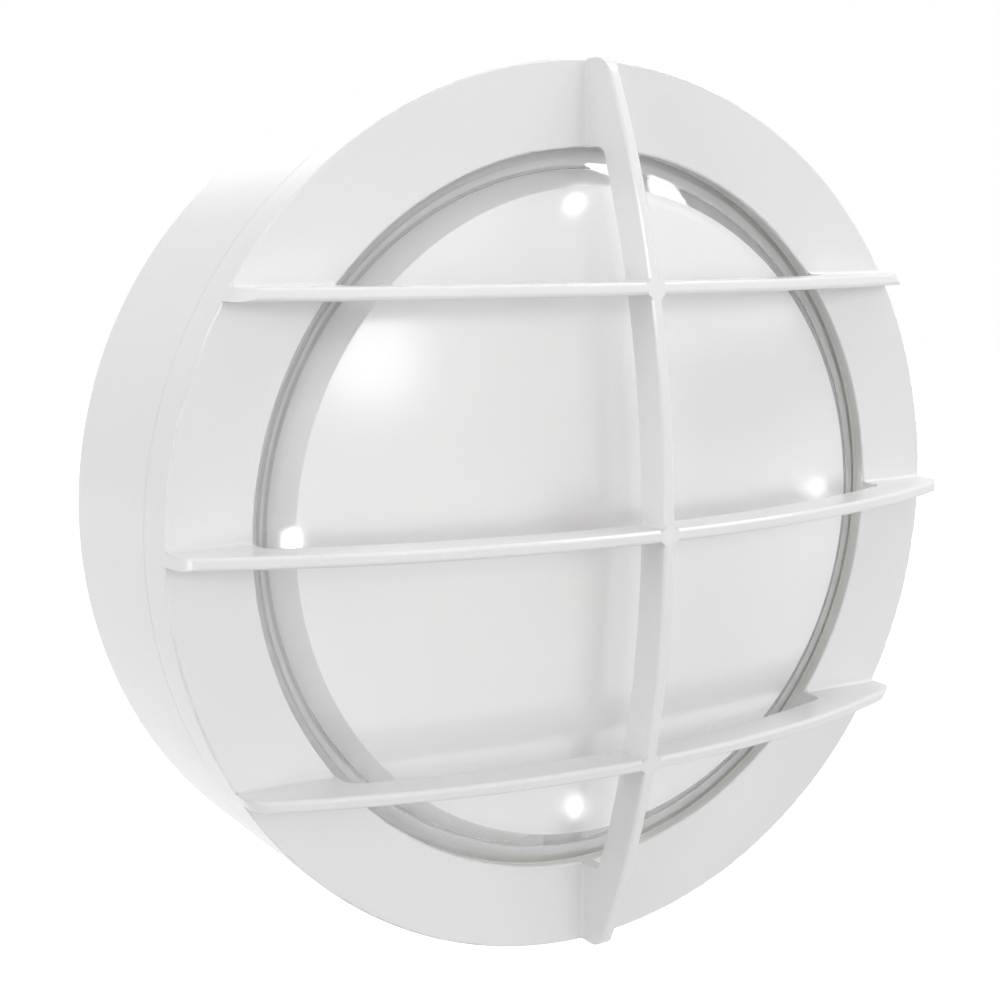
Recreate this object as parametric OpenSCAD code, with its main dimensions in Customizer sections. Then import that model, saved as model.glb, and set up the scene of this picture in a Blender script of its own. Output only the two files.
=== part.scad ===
// Round bulkhead light: a drum housing for the wall, a bezel with a bowed guard cast in
// one piece with it, a domed glass behind the guard and a lit tray behind the glass.
// The wall is the XZ plane, the light faces -Y and +Z is up.
// The origin is the middle of the back face. Sizes are in millimetres.

/* [Body] */
// Outside diameter of the drum
body_d = 280; // [256:1:340]
// Distance from the wall to the flat face of the bezel ring
face_depth = 77.5; // [70:0.5:110]
// Wall thickness of the drum and of the bezel's skirt
wall_t = 3.5; // [2.5:0.1:5]
// Thickness of the back plate
back_t = 4; // [3:0.5:6]
// Rounding of the drum's outer edges, front and back
edge_r = 0.7; // [0.5:0.1:2.5]

/* [Bezel] */
// Width of the flat ring between the window and the drum's edge
ring_w = 26.25; // [26:0.25:34]
// Thickness of the flat ring
ring_t = 3.5; // [2.5:0.1:5]
// How far the skirt reaches back from the face
skirt_depth = 16.5; // [15:0.5:24]
// Open joint between the skirt and the housing
seam_gap = 0.1; // [0.1:0.1:1.5]
// Wall thickness of the spigot that the skirt slides over
spigot_t = 3; // [2:0.1:3.5]
// Radial clearance between the skirt and the spigot
spigot_gap = 0.5; // [0.3:0.1:0.8]
// Thickness of the pressed gasket between spigot and ring
body_gasket_t = 3; // [2:0.5:4]
// Diameter of the two grub screws in the skirt
grub_d = 5; // [3:0.5:6]

/* [Guard] */
// Thickness of a rib
rib_t = 3.8; // [3:0.1:6]
// Height of the ribs above the face, in the middle of the guard
rib_apex = 42.8; // [36:0.2:60]
// Height of the ribs above the face, at the drum's edge
rib_rim = 10; // [8:0.2:16]
// Depth of a rib from its front edge to its underside
rib_depth = 12; // [8:0.5:15]
// Distance of the outer level ribs from the middle one
rib_row = 72; // [55:1:85]
// Rounding of a rib's front edges
rib_edge_r = 1.2; // [0.4:0.1:1.4]
// Rounding of a rib's front corner at the drum's edge
rib_end_r = 9; // [1:0.5:10]
// Rounding under a rib's foot, at the window's edge
rib_foot_r = 5; // [2:0.5:10]
// Fillet along the foot of a rib, and in the corners where ribs cross
rib_root_r = 1.2; // [0.5:0.1:2.5]

/* [Glass] */
// Wall thickness of the glass
glass_t = 5; // [4:0.5:6]
// Room between the ribs and the top of the dome
guard_gap = 11.4; // [8:0.2:14]
// How far the glass's rim reaches under the ring
seat_w = 6.75; // [5:0.25:7]
// Thickness of the gasket between ring and glass
glass_gasket_t = 1.5; // [1:0.1:2.5]
// Radial step from the window's edge in to the foot of the sloped band
step_inset = 2.75; // [2:0.25:4]
// Height of the step at the foot of the sloped band
step_h = 2.2; // [1:0.1:3]
// Width of the sloped band between the step and the dome
band_w = 9; // [6:0.5:12]
// Height of the dome's edge above the bezel's face
dome_edge = 3.2; // [2:0.2:5]

/* [Gear] */
// How far the tray's face lies behind the bezel's face
tray_setback = 13; // [12:0.5:16]
// Gap between the tray's edge and the glass's edge, seen from the front
tray_margin = 3; // [2:0.25:12]
// Sheet thickness of the tray
tray_t = 1.2; // [0.8:0.1:2]
// Depth of the tray's turned-back rim
tray_lip = 7; // [4:0.5:10]
// Gap between the light board's edge and the tray's edge
board_margin = 42.5; // [34:0.5:52]
// Thickness of the light board
board_t = 1.6; // [1:0.1:2]
// Length of the driver's case, across the light
driver_l = 100; // [80:1:108]
// Height of the driver's case
driver_h = 40; // [30:1:44]
// Depth of the driver's case, out from the wall
driver_d = 24; // [20:1:30]
// Distance of the driver's middle above the middle of the light
driver_up = 36; // [32:1:40]

/* [Wall] */
// Distance between fixing holes, both ways
fixing_pitch = 120; // [112:1:130]
// Diameter of a fixing hole
fixing_d = 5.5; // [4:0.5:7]
// Distance of the cable entry to the right of the middle
cable_right = 30; // [26:1:40]
// Distance of the cable entry below the middle
cable_below = 32; // [26:1:38]
// Diameter of the cable entry in the back plate
cable_hole_d = 20; // [16:0.5:24]
// Diameter of the cable hole in the grommet
cable_d = 8; // [6:0.5:10]
// Diameter of the side entry in the drum
conduit_d = 20; // [16:0.5:25]

/* [Hidden] */
$fn = 128;

// Clearances: a thread in its hole, a screw through a plain hole, a seal in its seat
thread_gap = 0.05;
hole_gap = 0.3;
seal_gap = 0.1;
// Length by which a joined or cut form runs past the face that it meets
over = 1;

// Drum and bezel
body_r = body_d / 2;
skirt_in_r = body_r - wall_t;
spigot_r = skirt_in_r - spigot_gap;
spigot_in_r = spigot_r - spigot_t;
ring_back = face_depth - ring_t;
skirt_end = face_depth - skirt_depth;
seam_depth = skirt_end - seam_gap;
spigot_end = ring_back - body_gasket_t;
window_r = body_r - ring_w;
window_edge_r = 0.6;
// The drum's wall thickens to the spigot over this land and taper
spigot_land = 5;
spigot_taper = 8;

// Glass seat: gasket, rim, and the collar and bosses on the ring's back
glass_r = window_r + seat_w;
rim_front = ring_back - glass_gasket_t;
rim_back = rim_front - glass_t;
collar_gap = 0.8;
collar_t = 2;
collar_r = glass_r + collar_gap;
collar_end = rim_back + 1.5;
clip_boss_r = 3.5;
clip_t = 1.2;
clip_w = 14;
clip_bite = 3.5;
clip_circle = collar_r + collar_t + clip_boss_r;
clip_screw_r = 1.5;
clip_screw_len = 6;
clip_angle = 45;

// Dome: its top stays the guard's gap under the ribs
dome_apex = rib_apex - rib_depth - guard_gap;
step_r = window_r - step_inset;
dome_r = step_r - band_w;
dome_sag = dome_apex - dome_edge;
dome_ball_r = (dome_r * dome_r + dome_sag * dome_sag) / (2 * dome_sag);
dome_ball_depth = face_depth + dome_apex - dome_ball_r;
step_top = rim_front + step_h;

// Guard: all rib fronts lie on one ball, all undersides on a smaller one inside it
rib_sag = rib_apex - rib_rim;
guard_ball_r = (body_r * body_r + rib_sag * rib_sag) / (2 * rib_sag);
guard_ball_depth = face_depth + rib_apex - guard_ball_r;
under_ball_r = guard_ball_r - rib_depth;
rib_rows = [-rib_row, 0, rib_row];
rib_reach = rib_apex + over;
rib_edge = min(rib_edge_r, rib_t / 2 - 0.1);
// Flats that make up the rounding of a rib's front edge
edge_flats = 3;

// Tray and light board
tray_front = face_depth - tray_setback;
tray_back = tray_front - tray_t;
tray_r = glass_r - tray_margin;
tray_screw_inset = 20.5;
tray_screw_circle = tray_r - tray_screw_inset;
tray_screw_r = 2;
tray_screw_len = 16;
tray_boss_r = 5;
tray_hole_r = 7;
board_r = tray_r - board_margin;
board_front = tray_front + board_t;
board_hole_r = 11;
board_screw_inset = 8;
board_screw_circle = board_r - board_screw_inset;
board_screw_r = 1.5;
board_screw_len = 6;
led_size = [3, 3, 0.8];
led_rings = [[0.42, 12], [0.74, 20]];
connector_size = [10, 8, 3.5];
connector_down = 24;

// Gear on the back plate
cable_at = [cable_right, -cable_below];
pad_h = 2;
pad_r = 5;
gear_back = back_t + pad_h;
driver_ear_w = 9;
driver_ear_h = 12;
driver_ear_t = 2.5;
driver_round = 3;
driver_screw_r = 2;
driver_screw_x = driver_l / 2 + driver_ear_w / 2;
driver_screw_len = 6;
lead_depth = gear_back + 14;
terminal_at = [-28, -24];
terminal_pitch = 13;
terminal_ways = 3;
terminal_size = [terminal_ways * terminal_pitch, 20, 11];
terminal_tower = [8, 14, 5];
terminal_wire_r = 1.8;
terminal_wire_up = 6;
terminal_screw_r = 2;
terminal_screw_len = 5;
terminal_screw_apart = 7;
terminal_fix_r = 1.2;
terminal_fix_len = 15;
earth_at = [0, -56];
earth_boss_h = 4;
earth_screw_r = 2;
earth_screw_len = 7;
earth_washer_r = 5;
earth_washer_t = 2.5;
fixing_pad_r = 7;

// Entries and the seal on the wall
grommet_lip = 3;
grommet_wall = 2.5;
grommet_nose = 8;
grommet_skin = 2;
conduit_depth = 30;
conduit_pad_r = conduit_d / 2 + 5;
conduit_pad_in = body_r - wall_t - 4;
conduit_seat = body_r - 1;
plug_head_r = conduit_d / 2 + 2.5;
plug_head_t = 3;
plug_washer_t = 1.2;
wall_seal_w = 5;
wall_seal_t = 2;
wall_seal_r = body_r - 8;

// Leads: their thickness and the points they pass, across, up and out from the wall
lead_d = 2.2;
lead_pair = 1.2;
lead_sides = 8;
lead_steps = 4;
terminal_top = terminal_at[1] + terminal_size[1] / 2;
terminal_wire = gear_back + terminal_wire_up;
terminal_x = [for (i = [-1, 0, 1]) terminal_at[0] + i * terminal_pitch];
driver_end = driver_l / 2;
lead_row = 6;
lead_bend = 8;
board_plug = board_front + connector_size[2] / 2;
plug_top = connector_size[1] / 2 - connector_down;
live_row = driver_up - lead_row;
neutral_row = driver_up + lead_row;
live_route = [[terminal_x[0], terminal_top, terminal_wire],
              [terminal_x[0], terminal_top + 0.75 * lead_bend, terminal_wire],
              [terminal_x[0] - lead_bend, terminal_top + 2 * lead_bend, terminal_wire + 0.75 * lead_bend],
              [-driver_end - 1.75 * lead_bend, terminal_top + 3.25 * lead_bend, lead_depth],
              [-driver_end - 2 * lead_bend, live_row - lead_bend / 2, lead_depth],
              [-driver_end - 1.25 * lead_bend, live_row, lead_depth],
              [-driver_end, live_row, lead_depth]];
neutral_route = [[terminal_x[1], terminal_top, terminal_wire],
                 [terminal_x[1], terminal_top + 0.75 * lead_bend, terminal_wire],
                 [terminal_x[1] - lead_bend, terminal_top + 2.5 * lead_bend,
                  terminal_wire + 1.5 * lead_bend],
                 [-driver_end - 1.25 * lead_bend, terminal_top + 2.75 * lead_bend,
                  lead_depth + 1.25 * lead_bend],
                 [-driver_end - 2.75 * lead_bend, live_row - lead_bend / 2,
                  lead_depth + 0.75 * lead_bend],
                 [-driver_end - 1.75 * lead_bend, neutral_row, lead_depth],
                 [-driver_end, neutral_row, lead_depth]];
earth_height = back_t + earth_boss_h + earth_washer_t / 2;
earth_route = [[terminal_x[2], terminal_top, terminal_wire],
               [terminal_x[2], terminal_top + 0.75 * lead_bend, terminal_wire],
               [earth_at[0] - lead_bend, terminal_top + 1.75 * lead_bend,
                terminal_wire + 0.75 * lead_bend],
               [earth_at[0] + lead_bend / 4, terminal_top + lead_bend / 2,
                terminal_wire + 1.25 * lead_bend],
               [earth_at[0] + 0.75 * lead_bend, terminal_top - 2 * lead_bend, terminal_wire + lead_bend],
               [earth_at[0] + lead_bend / 8, earth_at[1] + 1.5 * lead_bend, earth_height],
               [earth_at[0], earth_at[1] + earth_washer_r + seal_gap, earth_height]];
board_route = [[0, plug_top, board_plug], [0, plug_top + lead_bend / 4, board_plug],
               [0, plug_top + lead_bend, board_plug + lead_bend / 4],
               [0, -lead_bend / 2, board_plug + 0.6 * lead_bend],
               [0, 0, tray_front + over], [0, 0, tray_back - 0.4 * lead_bend],
               [0, 0, tray_back - 0.8 * lead_bend],
               [2 * lead_bend, lead_bend / 4, tray_back - 1.6 * lead_bend],
               [5.5 * lead_bend, lead_bend, tray_back - 2.6 * lead_bend],
               [driver_end + 1.5 * lead_bend, live_row - 1.25 * lead_bend, lead_depth + 1.5 * lead_bend],
               [driver_end + lead_bend, live_row, lead_depth], [driver_end, live_row, lead_depth]];

// Turns the light to face -Y: x stays, y becomes up and z runs out from the wall
module from_wall() { rotate([90, 0, 0]) children(); }

// Copies round the light's axis on a circle, starting at a turn
module around(count, circle_r, turn) {
    for (i = [0 : count - 1])
        rotate(turn + i * 360 / count)
            translate([circle_r, 0, 0])
                children();
}

// Copies to the four corners of the wall fixing pattern
module at_fixings() {
    for (x = [-1, 1], y = [-1, 1])
        translate([x, y, 0] * fixing_pitch / 2)
            children();
}

// Ring between two radii and two depths
module tube(outer, inner, low, high) {
    translate([0, 0, low])
        difference() {
            cylinder(r = outer, h = high - low);
            translate([0, 0, -over])
                cylinder(r = inner, h = high - low + 2 * over);
        }
}

// Disc of a radius between two depths
module disc(radius, low, high) {
    translate([0, 0, low])
        cylinder(r = radius, h = high - low);
}

// Pan-head screw pointing to the wall, its head seated at a depth
module pan_screw(shank_r, length, seat) {
    head_r = 2 * shank_r;
    head_h = 1.3 * shank_r;
    slot_w = 0.5 * shank_r;
    translate([0, 0, seat])
        difference() {
            union() {
                translate([0, 0, -length])
                    cylinder(r = shank_r, h = length);
                intersection() {
                    cylinder(r = head_r, h = head_h);
                    translate([0, 0, head_h - 1.6 * head_r])
                        sphere(r = 1.6 * head_r);
                }
            }
            for (turn = [0, 90])
                rotate(turn)
                    translate([-0.6 * head_r, -slot_w / 2, 0.45 * head_h])
                        cube([1.2 * head_r, slot_w, head_h]);
        }
}

// Rounded plate outline, made of two bars and four corner discs
module rounded_plate(size, round) {
    square([size[0] - 2 * round, size[1]], center = true);
    square([size[0], size[1] - 2 * round], center = true);
    for (x = [-1, 1], y = [-1, 1])
        translate([x * (size[0] / 2 - round), y * (size[1] / 2 - round)])
            circle(r = round);
}

// Point on a smooth curve through four neighbouring points, at a share of the middle span
function spline_point(a, b, c, d, t) =
    0.5 * (2 * b + (c - a) * t + (2 * a - 5 * b + 4 * c - d) * t * t
           + (3 * b - a - 3 * c + d) * t * t * t);
// Smooth path through a route's points
function smooth_path(p) =
    let (n = len(p) - 1)
    concat([for (i = [0 : n - 1], k = [0 : lead_steps - 1])
                let (a = i == 0 ? 2 * p[0] - p[1] : p[i - 1],
                     d = i == n - 1 ? 2 * p[n] - p[n - 1] : p[i + 2])
                spline_point(a, p[i], p[i + 1], d, k / lead_steps)],
           [p[n]]);
function unit(v) = v / norm(v);
// Unit direction of a route's path at each of its points, square to the route's ends
function path_tangents(p, q) =
    let (m = len(p) - 1, n = len(q) - 1)
    [for (i = [0 : n])
         unit(i == 0 ? p[1] - p[0] : i == n ? p[m] - p[m - 1] : q[i + 1] - q[i - 1])];
// Sideways direction at each point, carried along the path without twist
function path_sides(t, first) =
    [for (i = 0, s = unit(first - (first * t[0]) * t[0]);
          i < len(t);
          i = i + 1, s = i < len(t) ? unit(s - (s * t[i]) * t[i]) : s) s];

// Round lead along a route, shifted sideways by an offset
module lead(route, offset, first) {
    path = smooth_path(route);
    tangents = path_tangents(route, path);
    sides = path_sides(tangents, first);
    last = len(path) - 1;
    rings = [for (i = [0 : last], k = [0 : lead_sides - 1])
                 let (angle = k * 360 / lead_sides, up = cross(tangents[i], sides[i]))
                 path[i] + offset * sides[i]
                 + lead_d / 2 * (cos(angle) * sides[i] + sin(angle) * up)];
    walls = [for (i = [0 : last - 1], k = [0 : lead_sides - 1])
                 let (a = i * lead_sides, j = (k + 1) % lead_sides)
                 [a + k, a + lead_sides + k, a + lead_sides + j, a + j]];
    ends = [[for (k = [0 : lead_sides - 1]) k],
            [for (k = [lead_sides - 1 : -1 : 0]) last * lead_sides + k]];
    polyhedron(points = rings, faces = concat(walls, ends), convexity = 6);
}

// Drum with its back plate, spigot and the groove for the wall's seal, as one section
module housing_section() {
    land_start = seam_depth - spigot_land;
    difference() {
        union() {
            translate([0, edge_r])
                square([body_r, seam_depth - edge_r]);
            square([body_r - edge_r, seam_depth]);
            translate([body_r - edge_r, edge_r])
                circle(r = edge_r);
            square([spigot_r, spigot_end]);
        }
        polygon([[0, back_t], [skirt_in_r, back_t], [skirt_in_r, land_start - spigot_taper],
                 [spigot_in_r, land_start], [spigot_in_r, spigot_end + over],
                 [0, spigot_end + over]]);
        translate([wall_seal_r - wall_seal_w, -over])
            square([wall_seal_w, wall_seal_t + over]);
    }
}

// Cast bosses and pads on the back plate and round the side entry
module housing_bosses() {
    around(4, tray_screw_circle, 0)
        disc(tray_boss_r, back_t - over, tray_back);
    at_fixings()
        disc(fixing_pad_r, back_t - over, gear_back);
    for (x = [-1, 1])
        translate([x * driver_screw_x, driver_up, 0])
            disc(pad_r, back_t - over, gear_back);
    for (x = [-1, 1])
        translate([terminal_at[0] + x * terminal_pitch / 2, terminal_at[1], 0])
            disc(pad_r, back_t - over, gear_back);
    translate([earth_at[0], earth_at[1], 0])
        disc(pad_r, back_t - over, back_t + earth_boss_h);
    translate([0, 0, conduit_depth])
        rotate([90, 0, 0])
            disc(conduit_pad_r, conduit_pad_in, conduit_seat);
}

// Every hole in the housing
module housing_holes() {
    around(4, tray_screw_circle, 0)
        disc(tray_screw_r + thread_gap, tray_back - tray_screw_len, tray_back + over);
    at_fixings()
        disc(fixing_d / 2, -over, gear_back + over);
    for (x = [-1, 1])
        translate([x * driver_screw_x, driver_up, 0])
            disc(driver_screw_r + thread_gap, back_t / 4, gear_back + over);
    for (x = [-1, 1])
        translate([terminal_at[0] + x * terminal_pitch / 2, terminal_at[1], 0])
            disc(terminal_fix_r + thread_gap, back_t / 4, gear_back + over);
    translate([earth_at[0], earth_at[1], 0])
        disc(earth_screw_r + thread_gap, back_t / 4, back_t + earth_boss_h + over);
    translate([cable_at[0], cable_at[1], 0])
        disc(cable_hole_d / 2, -over, back_t + over);
    translate([0, 0, conduit_depth])
        rotate([90, 0, 0]) {
            disc(conduit_d / 2, conduit_pad_in - over, body_r + over);
            disc(plug_head_r + 1, conduit_seat, body_r + over);
        }
}

module base_housing() {
    color("whitesmoke")
        from_wall()
            difference() {
                union() {
                    rotate_extrude()
                        housing_section();
                    housing_bosses();
                }
                housing_holes();
            }
}

module wall_gasket() {
    color("dimgray")
        from_wall()
            tube(wall_seal_r - seal_gap, wall_seal_r - wall_seal_w + seal_gap, 0, wall_seal_t);
}

// Rubber sleeve through the back plate, with a lip inside and a tapered nose round the cable
module cable_grommet() {
    hole_r = cable_d / 2;
    sleeve_r = cable_hole_d / 2 - seal_gap;
    lip_front = back_t + grommet_lip;
    nose_front = lip_front + grommet_nose;
    color("dimgray")
        from_wall()
            translate([cable_at[0], cable_at[1], 0])
                rotate_extrude()
                    polygon([[hole_r, 0], [sleeve_r, 0], [sleeve_r, back_t],
                             [sleeve_r + grommet_wall, back_t],
                             [sleeve_r + grommet_wall, lip_front], [sleeve_r - grommet_wall, lip_front],
                             [hole_r + grommet_skin, nose_front], [hole_r, nose_front]]);
}

module blanking_plug() {
    seat = conduit_seat + plug_washer_t;
    key_r = 3;
    color("whitesmoke")
        from_wall()
            translate([0, 0, conduit_depth])
                rotate([90, 0, 0])
                    difference() {
                        union() {
                            disc(conduit_d / 2 - thread_gap, conduit_pad_in, seat);
                            disc(plug_head_r, seat, seat + plug_head_t);
                        }
                        translate([0, 0, seat + plug_head_t / 2])
                            cylinder(r = key_r, h = plug_head_t, $fn = 6);
                    }
}

module plug_washer() {
    color("dimgray")
        from_wall()
            translate([0, 0, conduit_depth])
                rotate([90, 0, 0])
                    tube(plug_head_r, conduit_d / 2 + seal_gap, conduit_seat,
                         conduit_seat + plug_washer_t);
}

module body_gasket() {
    color("dimgray")
        from_wall()
            tube(spigot_r - seal_gap, spigot_in_r + seal_gap, spigot_end, ring_back);
}

// Pressed sheet disc with a turned-back rim
module gear_tray() {
    color("white")
        from_wall()
            difference() {
                union() {
                    disc(tray_r, tray_back, tray_front);
                    tube(tray_r, tray_r - tray_t, tray_front - tray_lip, tray_front);
                }
                around(4, tray_screw_circle, 0)
                    disc(tray_screw_r + hole_gap, tray_back - over, tray_front + over);
                around(4, board_screw_circle, clip_angle)
                    disc(board_screw_r + thread_gap, tray_back - over, tray_front + over);
                disc(tray_hole_r, tray_back - over, tray_front + over);
            }
}

module tray_screws() {
    color("silver")
        from_wall()
            around(4, tray_screw_circle, 0)
                pan_screw(tray_screw_r, tray_screw_len, tray_front);
}

// Rubber ring in the tray's middle hole, a lip on each face
module tray_grommet() {
    lip_r = tray_hole_r + 2;
    lip_t = 1.2;
    lead_room = 2.6;
    color("dimgray")
        from_wall()
            difference() {
                union() {
                    disc(tray_hole_r - seal_gap, tray_back, tray_front);
                    disc(lip_r, tray_front, tray_front + lip_t);
                    disc(lip_r, tray_back - lip_t, tray_back);
                }
                disc(lead_room, tray_back - lip_t - over, tray_front + lip_t + over);
            }
}

module led_board() {
    color("white")
        from_wall()
            difference() {
                disc(board_r, tray_front, board_front);
                around(4, board_screw_circle, clip_angle)
                    disc(board_screw_r + hole_gap, tray_front - over, board_front + over);
                disc(board_hole_r, tray_front - over, board_front + over);
            }
}

// Two rings of square light packages on the board
module led_packages() {
    color("khaki")
        from_wall()
            for (ring = led_rings)
                around(ring[1], ring[0] * board_r, 180 / ring[1])
                    translate([-led_size[0] / 2, -led_size[1] / 2, board_front])
                        cube(led_size);
}

module board_connector() {
    color("ivory")
        from_wall()
            translate([-connector_size[0] / 2, -connector_down - connector_size[1] / 2, board_front])
                cube(connector_size);
}

module board_screws() {
    color("silver")
        from_wall()
            around(4, board_screw_circle, clip_angle)
                pan_screw(board_screw_r, board_screw_len, board_front);
}

// Closed driver case with an ear at each end
module led_driver() {
    ears = [driver_l + 2 * driver_ear_w, driver_ear_h];
    color("gainsboro")
        from_wall()
            translate([0, driver_up, gear_back])
                difference() {
                    union() {
                        linear_extrude(driver_d)
                            rounded_plate([driver_l, driver_h], driver_round);
                        linear_extrude(driver_ear_t)
                            rounded_plate(ears, driver_round);
                    }
                    for (x = [-1, 1])
                        translate([x * driver_screw_x, 0, 0])
                            disc(driver_screw_r + hole_gap, -over, driver_ear_t + over);
                }
}

module driver_screws() {
    color("silver")
        from_wall()
            for (x = [-1, 1])
                translate([x * driver_screw_x, driver_up, 0])
                    pan_screw(driver_screw_r, driver_screw_len, gear_back + driver_ear_t);
}

// Three-way block: a tower over each way, wire holes along it and two fixing holes
module terminal_block() {
    color("ivory")
        from_wall()
            translate([terminal_at[0], terminal_at[1], gear_back])
                difference() {
                    union() {
                        translate([-terminal_size[0] / 2, -terminal_size[1] / 2, 0])
                            cube(terminal_size);
                        for (x = [-1, 0, 1])
                            translate([x * terminal_pitch - terminal_tower[0] / 2,
                                       -terminal_tower[1] / 2, terminal_size[2] - over])
                                cube(terminal_tower + [0, 0, over]);
                    }
                    for (x = [-1, 0, 1])
                        translate([x * terminal_pitch, 0, 0]) {
                            translate([0, -terminal_size[1] / 2 - over, terminal_wire_up])
                                rotate([-90, 0, 0])
                                    cylinder(r = terminal_wire_r, h = terminal_size[1] / 2);
                            for (y = [-1, 1])
                                translate([0, y * terminal_screw_apart / 2, 0])
                                    disc(terminal_screw_r + thread_gap, terminal_size[2] - 1,
                                         terminal_size[2] + terminal_tower[2] + over);
                        }
                    for (x = [-1, 1])
                        translate([x * terminal_pitch / 2, 0, 0])
                            disc(terminal_fix_r + hole_gap, -over, terminal_size[2] + over);
                }
}

module terminal_screws() {
    slot_w = 0.8;
    slot_h = 1.2;
    low = gear_back + terminal_size[2] - 1;
    color("silver")
        from_wall()
            for (x = [-1, 0, 1], y = [-1, 1])
                translate([terminal_at[0] + x * terminal_pitch,
                           terminal_at[1] + y * terminal_screw_apart / 2, low])
                    difference() {
                        cylinder(r = terminal_screw_r, h = terminal_screw_len);
                        translate([-terminal_screw_r - over, -slot_w / 2, terminal_screw_len - slot_h])
                            cube([2 * (terminal_screw_r + over), slot_w, slot_h + over]);
                    }
}

// The two screws between the towers that hold the block to its pads
module terminal_fixings() {
    color("silver")
        from_wall()
            for (x = [-1, 1])
                translate([terminal_at[0] + x * terminal_pitch / 2, terminal_at[1], 0])
                    pan_screw(terminal_fix_r, terminal_fix_len, gear_back + terminal_size[2]);
}

module earth_washer() {
    color("goldenrod")
        from_wall()
            translate([earth_at[0], earth_at[1], back_t + earth_boss_h])
                tube(earth_washer_r, earth_screw_r + hole_gap, 0, earth_washer_t);
}

module earth_screw() {
    color("goldenrod")
        from_wall()
            translate([earth_at[0], earth_at[1], 0])
                pan_screw(earth_screw_r, earth_screw_len, back_t + earth_boss_h + earth_washer_t);
}

module mains_leads() {
    color("sienna")
        from_wall() {
            lead(live_route, 0, [0, 0, 1]);
            lead(neutral_route, 0, [0, 0, 1]);
        }
}

module earth_lead() {
    color("yellowgreen")
        from_wall()
            lead(earth_route, 0, [0, 0, 1]);
}

module board_leads() {
    color("firebrick")
        from_wall()
            for (side = [-1, 1])
                lead(board_route, side * lead_pair, [1, 0, 0]);
}

// Ring, skirt and the collar that centres the glass, as one section
module bezel_section() {
    difference() {
        union() {
            translate([window_r, ring_back])
                square([ring_w - edge_r, ring_t]);
            translate([window_r, ring_back])
                square([ring_w, ring_t - edge_r]);
            translate([body_r - edge_r, face_depth - edge_r])
                circle(r = edge_r);
            translate([skirt_in_r, skirt_end])
                square([wall_t, ring_back + ring_t - edge_r - skirt_end]);
            translate([collar_r, collar_end])
                square([collar_t, ring_back - collar_end + over]);
        }
        translate([window_r, face_depth - window_edge_r])
            difference() {
                translate([-over, 0])
                    square([window_edge_r + over, window_edge_r + over]);
                translate([window_edge_r, 0])
                    circle(r = window_edge_r);
            }
    }
}

// Flat slabs of the ribs: three level ones and one upright, right across the drum
module rib_slabs() {
    for (row = rib_rows)
        translate([-body_r, row - rib_t / 2, ring_back])
            cube([body_d, rib_t, ring_t + rib_reach]);
    translate([-rib_t / 2, -body_r, ring_back])
        cube([rib_t, body_d, ring_t + rib_reach]);
    for (row = rib_rows)
        translate([0, row, ring_back])
            linear_extrude(ring_t + rib_reach)
                crossing_corners();
}

// Fillets in the four corners where two ribs cross
module crossing_corners() {
    bite = over / 4;
    for (x = [-1, 1], y = [-1, 1])
        scale([x, y])
            translate([rib_t / 2, rib_t / 2])
                difference() {
                    translate([-bite, -bite])
                        square(rib_root_r + bite);
                    translate([rib_root_r, rib_root_r])
                        circle(r = rib_root_r);
                }
}

// Ball about the middle that the ribs are bowed round
module guard_ball(radius) {
    translate([0, 0, guard_ball_depth])
        sphere(r = radius, $fn = 360);
}

// Ring that eases one front edge of a level rib: what it takes off lies outside a few flats
// round the edge's rounding
module edge_cutter(row, side) {
    middle = row + side * (rib_t / 2 - rib_edge);
    ball_r = guard_ball_r - rib_edge;
    middle_r = sqrt(ball_r * ball_r - middle * middle);
    first = asin(side * middle / ball_r);
    turn = (90 - first) / edge_flats;
    flat_r = rib_edge / cos(turn / 2);
    flats = [for (i = [0 : edge_flats])
                 [middle_r + flat_r * cos(first + turn * i),
                  middle + side * flat_r * sin(first + turn * i)]];
    far_r = middle_r + 2 * rib_edge;
    far = flats[edge_flats][1] + side * rib_edge;
    translate([0, 0, guard_ball_depth])
        rotate([-90, 0, 0])
            rotate_extrude($fn = 360)
                polygon(concat([[far_r, flats[0][1]]], flats,
                               [[flats[edge_flats][0], far], [far_r, far]]));
}

// Eases both front edges of a level rib over the stretches between its crossings
module eased_edges(row, stretches) {
    low = face_depth + rib_rim / 2;
    for (side = [-1, 1], span = stretches)
        intersection() {
            edge_cutter(row, side);
            translate([span[0], row - rib_t, low])
                cube([span[1] - span[0], 2 * rib_t, rib_reach]);
        }
}

// What the ribs are trimmed to: the drum's outline, with a rounded front corner
module rib_bounds() {
    corner_r = body_r - rib_end_r;
    ball_r = guard_ball_r - rib_end_r;
    corner_depth = guard_ball_depth + sqrt(ball_r * ball_r - corner_r * corner_r);
    tangent_r = corner_r * guard_ball_r / ball_r;
    low = face_depth - ring_t / 2;
    rotate_extrude() {
        translate([0, low])
            square([tangent_r, rib_reach + ring_t]);
        translate([0, low])
            square([body_r, corner_depth - low]);
        translate([corner_r, corner_depth])
            circle(r = rib_end_r);
    }
}

// Fillet strips along both sides of a level rib's feet
module foot_fillets(row) {
    for (side = [-1, 1])
        translate([-body_r, row + side * rib_t / 2, face_depth])
            rotate([90, 0, 90])
                linear_extrude(2 * body_r)
                    difference() {
                        translate([side < 0 ? -rib_root_r : -over / 4, -over / 4])
                            square([rib_root_r + over / 4, rib_root_r + over / 4]);
                        translate([side * rib_root_r, rib_root_r])
                            circle(r = rib_root_r);
                    }
}

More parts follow.
